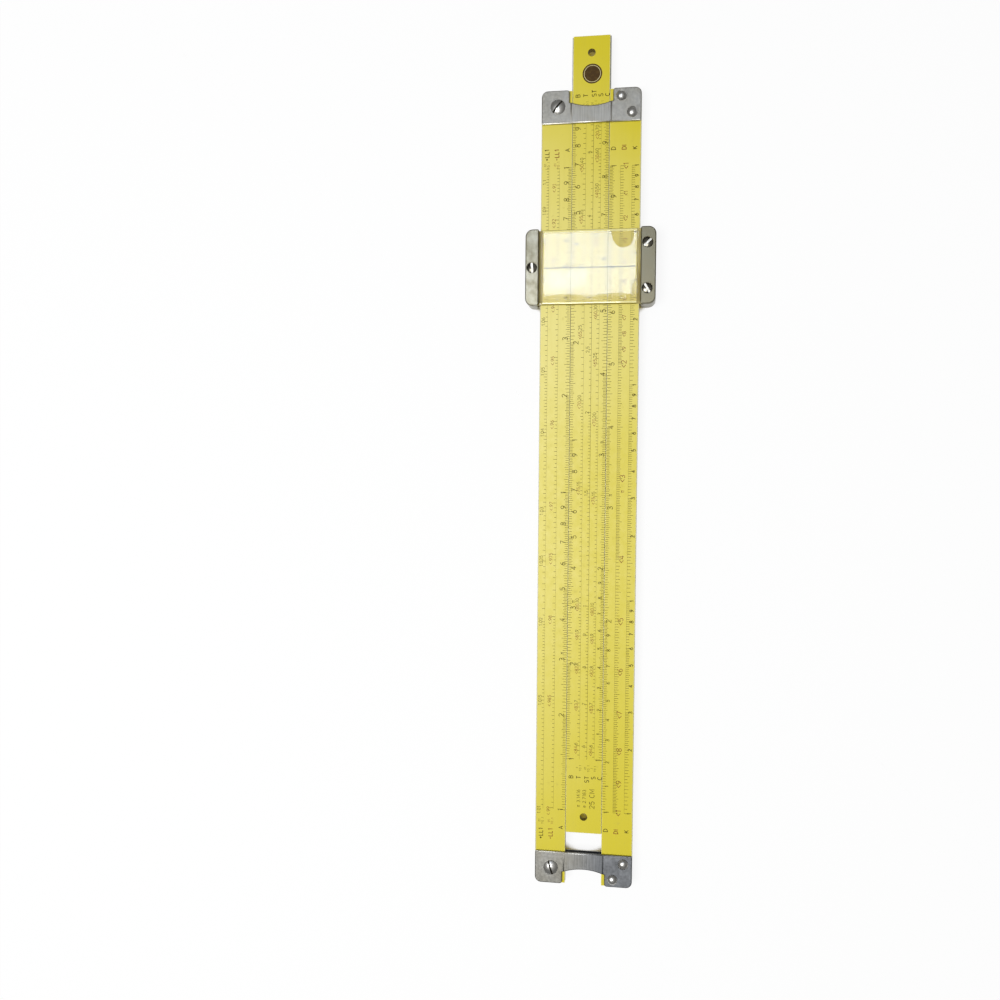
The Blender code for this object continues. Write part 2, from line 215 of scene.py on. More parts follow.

# The edges of the brackets' bridge, and the span over which a painted shade darkens the metals towards one
# side
bridge_edge = (0.0074, 0.0086)
painted_shade_span = (-0.01, 0.01)

# Where surfaces shade sharp: beyond an angle, or where a face lies level
fastener_sharp_angle = math.radians(22)
window_sharp_angle = math.radians(50)
steep_bend = math.radians(35)
level_normal = 0.99999
weld_distance = 0.0000005

# Camera and room
camera_place = (0.00055, -0.02432, 0.3809)
camera_turn = (-2.0363, 8.9545, -89.5574)
camera_lens = 34.67
camera_sensor = 36
camera_clip_start = 0.01
floor_size = 8

# Three soft lamps overhead: one that the cursor's window mirrors, a faint one that brightens a patch
# of that mirror image, and a long one along the rule. Each has a place, a size, a power and a tint.
# The room is dim, and less so straight above.
window_lamp = ((0.2925, 0.07, 1), (0.105, 0.2), 0.48, (0.66, 0.77, 1))
glow_lamp = ((0.261, 0.11, 0.99), (0.025, 0.08), 0.017, (0.6, 0.8, 1))
long_lamp = ((-0.105, 0.25, 1), (0.37, 0.5), 7.7, (1, 1, 1))
room_strength = (0.2, 0.46)
room_overhead_from = (0.66, 0.92)
room_tint = (1, 0.995, 0.98)
floor_glow_share = 0.88
floor_shade_distance = 0.008
floor_shade_samples = 32


def put(name, data):
    """A new object in the scene."""
    item = bpy.data.objects.new(name, data)
    bpy.context.scene.collection.objects.link(item)
    return item


def add_piece(name, mesh, body, stands_for=None):
    piece = put(name, mesh)
    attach(piece, body)
    if stands_for:
        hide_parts(stands_for)


def plain_mesh(name, points, faces, materials, marks):
    """A mesh whose faces have the materials that their marks count out."""
    mesh = bpy.data.meshes.new(name)
    mesh.from_pydata(points, [], faces)
    for material in materials:
        mesh.materials.append(material)
    mesh.polygons.foreach_set("material_index", marks)
    mesh.update()
    return mesh


def worked_mesh(name, work):
    """The mesh that was made in an editing mesh, which is freed."""
    mesh = bpy.data.meshes.new(name)
    work.to_mesh(mesh)
    work.free()
    return mesh


def circle(radius, z, steps, x=0, y=0):
    """Points round a level circle."""
    angles = [2 * math.pi * i / steps for i in range(steps)]
    return [(x + radius * math.cos(a), y + radius * math.sin(a), z) for a in angles]


def box_mesh(name, low, high):
    """A box between two of its corners."""
    work = bmesh.new()
    bmesh.ops.create_cube(work, size=1)
    for vertex in work.verts:
        vertex.co = [b if share > 0 else a for a, b, share in zip(low, high, vertex.co)]
    return worked_mesh(name, work)


def arc(x, y, radius_x, radius_y, start, end):
    """Points of a stretch of an ellipse, with its angles in degrees."""
    count = max(2, round(abs(end - start) / arc_step))
    angles = [math.radians(start + (end - start) * i / count) for i in range(count + 1)]
    return [(x + radius_x * math.cos(a), y + radius_y * math.sin(a)) for a in angles]


# Each letter's width and its strokes, as shares of the letter's height
six = [arc(0.3, 0.3, 0.29, 0.3, 0, 360), arc(0.62, 0.3, 0.61, 0.72, 180, 100)]
letters = {
    "0": (0.6, [arc(0.3, 0.5, 0.3, 0.5, 0, 360)]),
    "1": (0.36, [[(0.02, 0.8), (0.26, 1), (0.26, 0)]]),
    "2": (0.6, [arc(0.3, 0.71, 0.29, 0.29, 165, -38) + [(0, 0), (0.6, 0)]]),
    "3": (0.58, [arc(0.28, 0.75, 0.26, 0.25, 150, -90) + arc(0.28, 0.27, 0.3, 0.27, 78, -150)]),
    "4": (0.64, [[(0.46, 0), (0.46, 1), (0, 0.3), (0.64, 0.3)]]),
    "5": (0.6, [[(0.55, 1), (0.1, 1), (0.05, 0.54)] + arc(0.29, 0.33, 0.3, 0.33, 128, -150)]),
    "6": (0.6, six),
    "7": (0.58, [[(0, 1), (0.58, 1), (0.18, 0)]]),
    "8": (0.6, [arc(0.3, 0.76, 0.24, 0.24, 0, 360), arc(0.3, 0.26, 0.3, 0.26, 0, 360)]),
    "9": (0.6, [[(0.6 - x, 1 - y) for x, y in stroke] for stroke in six]),
    "A": (0.68, [[(0, 0), (0.34, 1), (0.68, 0)], [(0.13, 0.36), (0.55, 0.36)]]),
    "B": (0.6, [
        [(0, 0), (0, 1), (0.3, 1)] + arc(0.3, 0.77, 0.25, 0.23, 72, -90) + [(0, 0.54)],
        [(0.3, 0.54)] + arc(0.32, 0.27, 0.28, 0.27, 72, -90) + [(0, 0)],
    ]),
    "C": (0.66, [arc(0.37, 0.5, 0.37, 0.5, 48, 312)]),
    "D": (0.64, [[(0, 0), (0, 1), (0.2, 1)] + arc(0.2, 0.5, 0.44, 0.5, 72, -90) + [(0, 0)]]),
    "F": (0.52, [[(0.52, 1), (0, 1), (0, 0)], [(0, 0.52), (0.42, 0.52)]]),
    "I": (0.1, [[(0.05, 0), (0.05, 1)]]),
    "K": (0.6, [[(0, 0), (0, 1)], [(0.58, 1), (0, 0.4)], [(0.2, 0.6), (0.6, 0)]]),
    "L": (0.5, [[(0, 1), (0, 0), (0.5, 0)]]),
    "M": (0.76, [[(0, 0), (0, 1), (0.38, 0.25), (0.76, 1), (0.76, 0)]]),
    "O": (0.72, [arc(0.36, 0.5, 0.36, 0.5, 0, 360)]),
    "S": (0.6, [arc(0.3, 0.75, 0.27, 0.25, 40, 262) + arc(0.3, 0.26, 0.3, 0.26, 82, -145)]),
    "T": (0.66, [[(0, 1), (0.66, 1)], [(0.33, 1), (0.33, 0)]]),
    "e": (0.56, [[(0.02, 0.36), (0.54, 0.36)] + arc(0.28, 0.34, 0.27, 0.34, 18, 318)]),
    "π": (0.7, [
        [(0, 0.64), (0.08, 0.72), (0.68, 0.72)], [(0.22, 0.72), (0.16, 0)], [(0.5, 0.72), (0.5, 0)],
    ]),
    "<": (0.5, [[(0.5, 0.9), (0, 0.5), (0.5, 0.1)]]),
    ".": (0.12, [[(0, 0.06), (0.13, 0.06)]]),
    "+": (0.5, [[(0, 0.5), (0.5, 0.5)], [(0.25, 0.25), (0.25, 0.75)]]),
    "-": (0.44, [[(0, 0.5), (0.44, 0.5)]]),
    " ": (0.3, []),
}


def text_width(words, height):
    widths = [letters[c][0] for c in words]
    return height * (sum(widths) + letter_gap_share * (len(widths) - 1))


class Print:
    """Ink on one face of a bar, gathered into one mesh of thin raised bands.

    Places on it are measured along the rule from the scale's left index and across it from the centre
    line, with the rule's own left at the left: the rear face is turned over about the rule's length.
    Its side is 1 on the front face and -1 on the rear face.
    """

    def __init__(self, name, body, side=1, stroke=stroke_share):
        self.name = name
        self.body = body
        self.index = stator_index if body == "rule_frame" else slide_index
        self.side = side
        self.stroke = stroke
        self.points = []
        self.faces = []
        self.inks = []

    def place(self, x, y, height):
        z = centre_z + self.side * (half_thickness + height)
        return (self.index + x, centre_y + self.side * y, z)

    def band(self, path, width, ink=0):
        """A closed flat band along the path, mitred at its corners."""
        closed = len(path) > 2 and math.dist(path[0], path[-1]) < join_distance
        path = path[:-1] if closed else path
        count = len(path)
        first = len(self.points)
        for i, (x, y) in enumerate(path):
            x0, y0 = path[i - 1] if i or closed else (x, y)
            x1, y1 = path[(i + 1) % count] if i + 1 < count or closed else (x, y)
            before = Vector((x - x0, y - y0)).normalized()
            after = Vector((x1 - x, y1 - y)).normalized()
            along = (before + after).normalized()
            across = Vector((-along.y, along.x)) * width / 2
            leg = after if after.length else before
            across /= max(mitre_limit, along.dot(leg))
            for sign, height in ((1, -ink_sunk), (-1, -ink_sunk), (-1, ink_proud), (1, ink_proud)):
                self.points.append(self.place(x + sign * across.x, y + sign * across.y, height))
        for i in range(count if closed else count - 1):
            a = first + 4 * i
            b = first + 4 * ((i + 1) % count)
            for j in range(4):
                k = (j + 1) % 4
                self.faces.append((a + j, b + j, b + k, a + k))
                self.inks.append(ink)
        if not closed:
            last = first + 4 * (count - 1)
            self.faces.append((first, first + 1, first + 2, first + 3))
            self.faces.append((last + 3, last + 2, last + 1, last))
            self.inks += [ink, ink]

    def tick(self, x, line, length):
        self.band([(x, line), (x, line + length)], tick_width)

    def line(self, row, width=line_width):
        self.band([(0, row), (scale_length, row)], width)

    def text(self, words, x, y, height, anchor=0.5, ink=0, stroke=None):
        """Words whose middle is at y; anchor is the share of their width that lies left of x."""
        at = x - anchor * text_width(words, height)
        thickness = height * (stroke or self.stroke)
        for character in words:
            width, strokes = letters[character]
            for line in strokes:
                path = [(at + height * u, y + height * (v - 0.5)) for u, v in line]
                self.band(path, thickness, ink)
            at += height * (width + letter_gap_share)

    def finish(self):
        mesh = plain_mesh(self.name, self.points, self.faces, (dark_ink, red_ink), self.inks)
        add_piece(self.name, mesh, self.body)


def decades_place(count):
    """Where a value stands on a scale of so many decades."""
    return lambda value: scale_length / count * math.log10(value)


def inverse_place(value):
    return scale_length * (1 - math.log10(value))


def folded_place(value):
    return scale_length * math.log10(value / math.pi)


def linear_place(value):
    return scale_length * value


def angle_place(ratio):
    """Where an angle stands by its sine or tangent."""
    return lambda degrees: scale_length * (1 + math.log10(ratio(math.radians(degrees))))


def small_angle_place(degrees):
    return scale_length * (2 + math.log10(math.radians(degrees)))


def log_log_place(decade):
    """The place of a power of e whose exponent's decade is given: 2 for .01 to .1, 1 and 0 above it."""
    return lambda value: scale_length * (decade + math.log10(abs(math.log(value))))


def divisions(spans):
    """(value, rank) of each mark. A span is its first and last value, its step, and how many steps
    lie between longer marks and between the longest ones."""
    marks = []
    for first, last, step, middle, large in spans:
        for n in range(round(first / step), round(last / step)):
            rank = 2 if n % large == 0 else 1 if n % middle == 0 else 0
            marks.append((n * step, rank))
    marks.append((spans[-1][1], 2))
    return marks


def draw_names(ink, name, row, ink_colour=0, notes=(), gaps=plain_gaps):
    """The scale's name beyond both indexes, with a small note in two rows between it and the index."""
    for x, anchor, sign, (name_gap, note_gap) in ((0, 1, -1, gaps[0]), (scale_length, 0, 1, gaps[1])):
        ink.text(name, x + sign * name_gap, row, label_height, anchor, ink_colour, bold_stroke_share)
        for i, words in enumerate(notes):
            note_row = row + note_height * note_pitch * (0.5 - i)
            ink.text(words, x + sign * note_gap, note_row, note_height, 0.5, ink_colour)


decade_spans = [(1, 2, 0.01, 5, 10), (2, 4, 0.02, 5, 25), (4, 10, 0.05, 2, 10)]


def over_decades(spans, count):
    """One decade's spans, and the same again ten times as high for each further decade."""
    rows = [(10**decade, *span) for decade in range(count) for span in spans]
    return [(a * scale, b * scale, step * scale, middle, large) for scale, a, b, step, middle, large in rows]


two_decade_spans = over_decades([(1, 2, 0.02, 5, 25), (2, 5, 0.05, 2, 10), (5, 10, 0.1, 5, 10)], 2)
three_decade_spans = over_decades([(1, 3, 0.05, 2, 10), (3, 6, 0.1, 5, 10), (6, 10, 0.2, 5, 5)], 3)
sine_spans = [
    (5.8, 10, 0.1, 5, 10), (10, 20, 0.2, 5, 25), (20, 30, 0.5, 2, 10), (30, 60, 1, 5, 10),
    (60, 80, 2, 5, 5), (80, 90, 5, 1, 2),
]
tangent_spans = [(5.8, 10, 0.1, 5, 10), (10, 20, 0.2, 5, 25), (20, 45, 0.5, 2, 10)]
small_angle_spans = [
    (0.58, 1, 0.01, 5, 10), (1, 2, 0.02, 5, 25), (2, 4, 0.05, 10, 20), (4, 5.7, 0.1, 5, 10),
]
ll1_plus_spans = [(1.01, 1.02, 0.0002, 5, 25), (1.02, 1.05, 0.0005, 2, 10), (1.05, 1.105, 0.001, 5, 10)]
ll1_minus_spans = [(0.905, 0.95, 0.001, 5, 10), (0.95, 0.98, 0.0005, 2, 10), (0.98, 0.99, 0.0002, 5, 25)]
ll2_plus_spans = [
    (1.106, 1.2, 0.002, 5, 10), (1.2, 1.5, 0.005, 2, 10), (1.5, 2, 0.01, 5, 10), (2, 2.7, 0.02, 5, 25),
]
ll2_minus_spans = [(0.37, 0.5, 0.005, 2, 10), (0.5, 0.8, 0.005, 2, 10), (0.8, 0.904, 0.002, 5, 25)]
ll3_plus_spans = [
    (2.75, 4, 0.05, 5, 10), (4, 10, 0.2, 5, 5), (10, 20, 0.5, 2, 10), (20, 50, 2, 5, 5),
    (50, 100, 10, 5, 5), (100, 200, 20, 5, 5), (200, 1000, 100, 5, 5), (1000, 10000, 1000, 5, 5),
    (10000, 20000, 5000, 1, 2),
]
ll3_minus_spans = [
    (0.0001, 0.001, 0.0001, 5, 10), (0.001, 0.01, 0.001, 5, 10), (0.01, 0.05, 0.002, 5, 5),
    (0.05, 0.2, 0.01, 5, 5), (0.2, 0.36, 0.005, 2, 10),
]
linear_spans = [(0, 1, 0.002, 5, 25)]


def number_decade(ink, place, row, ink_colour=0, prefix=""):
    """1 to 10 with the tenths between 1 and 2 in smaller digits, as on the scales of one decade."""
    for value in range(1, 11):
        ink.text(prefix + str(value)[0], place(value), row, digit_height, 0.5, ink_colour)
    for tenth in range(1, 10):
        ink.text(prefix + str(tenth), place(1 + tenth / 10), row, small_digit_height, 0.5, ink_colour)
    ink.text("π", place(math.pi), row, small_digit_height, 0.5, ink_colour)


def number_decades(ink, place, row, count, height):
    """1 to 9 in each of several decades, then the last 1."""
    for decade in range(count):
        for value in range(1, 10):
            ink.text(str(value), place(value * 10**decade), row, height)
    ink.text("1", place(10**count), row, height)


def number_squares(ink, place, row):
    number_decades(ink, place, row, 2, digit_height)
    ink.text("π", place(math.pi), row, small_digit_height)


def number_values(ink, place, row, words, ink_colour=0, anchor=0.5):
    for word in words:
        ink.text(word, place(float(word.strip("<"))), row, value_height, anchor, ink_colour)


def number_angles(ink, place, row, angles):
    """Angles, each with its complement in the second ink on its left."""
    for angle in angles:
        x = place(angle)
        ink.text(str(angle), x + side_gap, row, value_height, 0)
        ink.text("<" + str(90 - angle), x - side_gap, row, value_height, 1, 1)


scale_names = {1: "front_scale_", -1: "rear_scale_"}

# What a scale of one decade and a scale of squares are drawn from
one_decade = (decade_spans, decades_place(1), large_ticks, (number_decade,))
two_decades = (two_decade_spans, decades_place(2), large_ticks, (number_squares,))


def draw_scale(
    name, body, side, rows, spans, place, lengths, numbering, label,
    notes=(), ink_colour=0, gaps=plain_gaps, width=line_width, stroke=stroke_share,
):
    """A printed scale whose ticks point to its numbers. Its numbering is the function that draws what
    stands beside the ticks, with that function's values. Its width is its line's, and 0 on a seam."""
    ink = Print(scale_names[side] + name, body, side, stroke)
    line, numbers, names = rows
    way = math.copysign(1, numbers - line)
    if width:
        ink.line(line, width)
    for value, rank in divisions(spans):
        x = place(value)
        if -tick_width < x < scale_length + tick_width:
            ink.tick(x, line, way * lengths[rank])
    number, *values = numbering
    number(ink, place, numbers, *values)
    draw_names(ink, label, names, ink_colour, notes, gaps)
    ink.finish()


def draw_log_log_scale(name, side, rows, spans, decade, words, label, notes, ink_colour=0, anchor=0.5):
    """A scale of powers of e on the bars."""
    numbering = (number_values, words, ink_colour, anchor)
    draw_scale(
        name, "rule_frame", side, rows, spans, log_log_place(decade), small_ticks,
        numbering, label, notes, ink_colour, log_log_gaps,
    )


def draw_folded_scale(name, body, rows, label, inverse=False):
    """A scale of the rear face that starts at pi: the values past its end wrap round to its start. An
    inverse one runs the other way, in smaller marks on a line of its own."""
    ink = Print(scale_names[-1] + name, body, -1)
    line, numbers, names = rows
    way = math.copysign(1, numbers - line)
    look = (small_ticks, value_height, "<", -1, 1) if inverse else (large_ticks, digit_height, "", 1, 0)
    lengths, height, prefix, along, ink_colour = look
    if inverse:
        ink.line(line)
    for value, rank in divisions(decade_spans)[:-1]:
        ink.tick(along * folded_place(value) % scale_length, line, way * lengths[rank])
    for value in range(1, 10):
        x = along * folded_place(value) % scale_length
        ink.text(prefix + str(value), x, numbers, height, 0.5, ink_colour)
    for x in (0, scale_length):
        ink.tick(x, line, way * lengths[2])
        ink.text("π", x, numbers, height, 0.5, ink_colour)
    draw_names(ink, label, names, ink_colour)
    ink.finish()


def draw_front_scales():
    bars = ("rule_frame", 1)
    slide = ("slide_bar", 1)
    low_notes = (".01", "TO .1")
    high_notes = (".1", "TO 1")
    above = "1.01 1.015 1.02 1.025 1.03 1.04 1.05 1.06 1.07 1.08 1.09 1.1".split()
    below = "<.91 <.92 <.93 <.94 <.95 <.96 <.97 <.975 <.98 <.985 <.99".split()
    small_angles = ".6 .7 .8 .9 1 1.5 2 2.5 3 4 5".split()
    angles = [6, 7, 8, 9, 10, 15, 20, 25, 30]
    draw_log_log_scale("ll_plus", 1, ll_plus_rows, ll1_plus_spans, 2, above, "+LL1", low_notes)
    draw_log_log_scale("ll_minus", 1, ll_minus_rows, ll1_minus_spans, 2, below, "-LL1", low_notes, 1, 0.9)
    draw_scale("a", *bars, a_rows, *two_decades, "A", width=0)
    draw_scale("b", *slide, b_rows, *two_decades, "B", width=0)
    draw_scale(
        "t", *slide, t_rows, tangent_spans, angle_place(math.tan), small_ticks,
        (number_angles, angles + [35, 40]), "T", high_notes,
    )
    draw_scale(
        "st", *slide, st_rows, small_angle_spans, small_angle_place, small_ticks,
        (number_values, small_angles), "ST", low_notes, width=strong_line_width,
    )
    draw_scale(
        "s", *slide, s_rows, sine_spans, angle_place(math.sin), small_ticks,
        (number_angles, angles + [40, 50, 60, 70]), "S", high_notes,
    )
    draw_scale("c", *slide, c_rows, *one_decade, "C", width=0)
    draw_scale("d", *bars, d_rows, *one_decade, "D", width=0)
    draw_scale(
        "di", *bars, di_rows, decade_spans, inverse_place, large_ticks,
        (number_decade, 1, "<"), "DI", (), 1,
    )
    draw_scale(
        "k", *bars, k_rows, three_decade_spans, decades_place(3), large_ticks,
        (number_decades, 3, small_digit_height), "K", stroke=bold_stroke_share,
    )


def draw_rear_scales():
    bars = ("rule_frame", -1)
    slide = ("slide_bar", -1)
    low_notes = (".1", "TO 1")
    high_notes = ("1", "TO 10")
    ll2_up = "1.11 1.15 1.2 1.3 1.4 1.5 1.6 1.8 2 2.5".split()
    ll2_down = "<.9 <.85 <.8 <.75 <.7 <.6 <.5 <.4".split()
    ll3_up = "3 4 5 6 8 10 15 20 30 50 100 200 500 1000 5000".split()
    ll3_down = "<.3 <.2 <.1 <.05 <.02 <.01 <.001".split()
    tenths = ".1 .2 .3 .4 .5 .6 .7 .8 .9".split()
    inverse_digits = "<1 <2 <3 <4 <5 <6 <7 <8 <9".split()
    draw_log_log_scale("ll2_plus", -1, ll_plus_rows, ll2_plus_spans, 1, ll2_up, "+LL2", low_notes)
    draw_log_log_scale(
        "ll2_minus", -1, ll2_minus_rows, ll2_minus_spans, 1, ll2_down, "-LL2", low_notes, 1, 0.9
    )
    draw_folded_scale("df", "rule_frame", a_rows, "DF")
    draw_folded_scale("cf", "slide_bar", b_rows, "CF")
    draw_folded_scale("cif", "slide_bar", cif_rows, "CIF", True)
    draw_scale(
        "l", *slide, linear_rows, linear_spans, linear_place, small_ticks, (number_values, tenths), "L"
    )
    draw_scale(
        "ci", *slide, ci_rows, decade_spans, inverse_place, small_ticks,
        (number_values, inverse_digits, 1), "CI", (), 1,
    )
    draw_scale("c", *slide, c_rows, *one_decade, "C", width=0)
    draw_scale("d", *bars, d_rows, *one_decade, "D", width=0)
    draw_log_log_scale("ll3_minus", -1, ll3_minus_rows, ll3_minus_spans, 0, ll3_down, "-LL3", high_notes, 1)
    draw_log_log_scale("ll3_plus", -1, ll3_plus_rows, ll3_plus_spans, 0, ll3_up, "+LL3", high_notes)


def draw_constants():
    """Plain numbers near the slide's left end."""
    ink = Print("front_plain_numbers", "slide_bar")
    for words, row, height in constants:
        ink.text(words, -constants_gap, row, height)
    ink.finish()


def make_disc():
    """A plain disc in raised ink, with one thin ring in the enamel's colour."""
    middle = (slide_index + scale_length + disc_beyond_index, centre_y + disc_offset)
    top = centre_z + half_thickness + ink_proud
    bottom = top - ink_proud - ink_sunk
    outer = disc_ring_radius + disc_ring_width / 2
    inner = disc_ring_radius - disc_ring_width / 2
    points = []
    faces = []
    for radius, z in ((disc_radius, bottom), (disc_radius, top), (outer, top), (inner, top)):
        points += circle(radius, z, disc_steps, *middle)
    for row in range(3):
        for i in range(disc_steps):
            j = (i + 1) % disc_steps
            a, b = row * disc_steps, (row + 1) * disc_steps
            faces.append((a + i, a + j, b + j, b + i))
    faces.append(tuple(range(disc_steps))[::-1])
    faces.append(tuple(range(3 * disc_steps, 4 * disc_steps)))
    marks = [1 if 2 * disc_steps <= i < 3 * disc_steps else 0 for i in range(len(faces))]
    mesh = plain_mesh("front_plain_disc", points, faces, (disc_ink, ring_ink), marks)
    add_piece("front_plain_disc", mesh, "slide_bar")


def turned_mesh(name, profile):
    """A solid turned about +Z from (radius, height) points, the first and last of them on the axis."""
    work = bmesh.new()
    rings = []
    for radius, z in profile:
        points = circle(radius, z, turned_segments) if radius else [(0, 0, z)]
        rings.append([work.verts.new(point) for point in points])
    for low, high in zip(rings, rings[1:]):
        for i in range(turned_segments):
            j = (i + 1) % turned_segments
            corners = [low[i % len(low)], low[j % len(low)], high[j % len(high)], high[i % len(high)]]
            work.faces.new(list(dict.fromkeys(corners)))
    bmesh.ops.recalc_face_normals(work, faces=work.faces)
    return worked_mesh(name, work)


def dome(radius, rim, rise, seat):
    """Profile points of a domed head from its seat's outer edge to the top of its axis."""
    ball = (radius**2 + rise**2) / (2 * rise)
    points = [(radius, seat), (radius, seat + rim)]
    for i in range(1, dome_steps + 1):
        x = radius * (1 - i / dome_steps)
        points.append((x, seat + rim + rise - ball + math.sqrt(ball**2 - x**2)))
    return points


def cut_slot(mesh, slot, top, reach, angle):
    """The mesh with a straight slot across it, and its faces marked: 0 head, 1 slot floor, 2 slot wall.

    The slot is its width and its depth below the top of the head. It runs as far as the reach."""
    width, depth = slot
    piece = put("slotting", mesh)
    side = width / 2
    box = box_mesh("slot", (-reach, -side, top - depth), (reach, side, top + depth))
    cutter = put("slot", box)
    cutter.rotation_euler.z = math.radians(angle)
    cut = piece.modifiers.new("slot", "BOOLEAN")
    cut.object = cutter
    cut.operation = "DIFFERENCE"
    bpy.context.view_layer.update()
    graph = bpy.context.evaluated_depsgraph_get()
    result = bpy.data.meshes.new_from_object(piece.evaluated_get(graph), depsgraph=graph)
    bpy.data.objects.remove(piece)
    bpy.data.objects.remove(cutter)
    across = Vector((-math.sin(math.radians(angle)), math.cos(math.radians(angle)), 0))
    for face in result.polygons:
        inside = abs(face.center.dot(across)) < side + touch and face.center.z > top - depth - touch
        wall = abs(face.normal.z) < wall_normal
        face.material_index = (2 if wall else 1) if inside else 0
    return result


def set_down(points, low, high, face):
    """Move points from a part's own place to its box on one face of the rule, 1 front and -1 rear."""
    for point in points:
        x, y, z = point.co
        point.co = ((low.x + high.x) / 2 + x, (low.y + high.y) / 2 + face * y, centre_z + face * z)


def set_fastener(node, body, profile, face, finish, slot=None, angle=0, slot_floor=None):
    """A turned fastener in place of the node, with its head towards the face.

    The profile's heights are measured outwards from the rule's middle plane."""
    mesh = turned_mesh(node + "_fine", profile)
    if slot:
        top = max(z for radius, z in profile)
        reach = 2 * max(radius for radius, z in profile)
        mesh = cut_slot(mesh, slot, top, reach, angle)
    set_down(mesh.vertices, *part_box(node), face)
    mesh.shade_smooth()
    mesh.set_sharp_from_angle(angle=fastener_sharp_angle)
    marks = [polygon.material_index for polygon in mesh.polygons]
    for polygon in mesh.polygons:
        polygon.use_smooth = polygon.material_index == 0
    mesh.materials.clear()
    # The slot's walls take the painted slot shade.
    for material in (finish, slot_floor, slot_shade) if slot else (finish,):
        mesh.materials.append(material)
    mesh.polygons.foreach_set("material_index", marks)
    add_piece(node + "_fine", mesh, body, node)


def fastener_reach(node):
    """The radius of its head, and the heights of its two ends from the rule's middle plane."""
    low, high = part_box(node)
    return (high.x - low.x) / 2, low.z - centre_z, high.z - centre_z


def make_fasteners():
    for side, angle in clamp_slot_angles.items():
        node = side + "_clamp_screw"
        radius, bottom, top = fastener_reach(node)
        profile = [(0, bottom), (clamp_shank, bottom), (clamp_shank, head_seat)]
        profile += dome(radius, clamp_rim, top - head_seat - clamp_rim, head_seat)
        # The clamp screws' slots have the painted slot shade on their floors too.
        set_fastener(node, "rule_frame", profile, 1, steel_worn, clamp_slot, angle, slot_shade)
        node = side + "_post_nut"
        radius, bottom, top = fastener_reach(node)
        bore = clamp_shank + thread_gap
        profile = [(0, half_thickness - top), (bore, half_thickness - top), (bore, -top)]
        profile += [(post_sleeve, -top), (post_sleeve, head_seat)]
        profile += dome(radius, post_rim, -bottom - head_seat - post_rim, head_seat)
        set_fastener(node, "rule_frame", profile, -1, steel_worn, post_slot, angle, shaded_slot_steel)
        for place in ("outer", "inner"):
            node = side + "_" + place + "_rivet"
            radius, bottom, top = fastener_reach(node)
            head = [(rivet_shank, head_seat)]
            head += dome(radius, rivet_rim, top - head_seat - rivet_rim, head_seat)
            profile = [(r, -z) for r, z in reversed(head)] + head
            set_fastener(node, "rule_frame", profile, 1, steel_worn)
    for place, angle in cursor_slot_angles.items():
        for name, face in (("front", 1), ("rear", -1)):
            node = "cursor_" + name + "_screw_" + place
            radius, bottom, top = fastener_reach(node)
            near, far = sorted((abs(bottom), abs(top)))
            seat = far - cursor_rim - cursor_dome
            profile = [(0, near), (cursor_shank, near), (cursor_shank, seat)]
            profile += dome(radius, cursor_rim, cursor_dome, seat)
            set_fastener(node, "cursor", profile, face, steel_painted_dark, cursor_slot, angle, steel_bright)


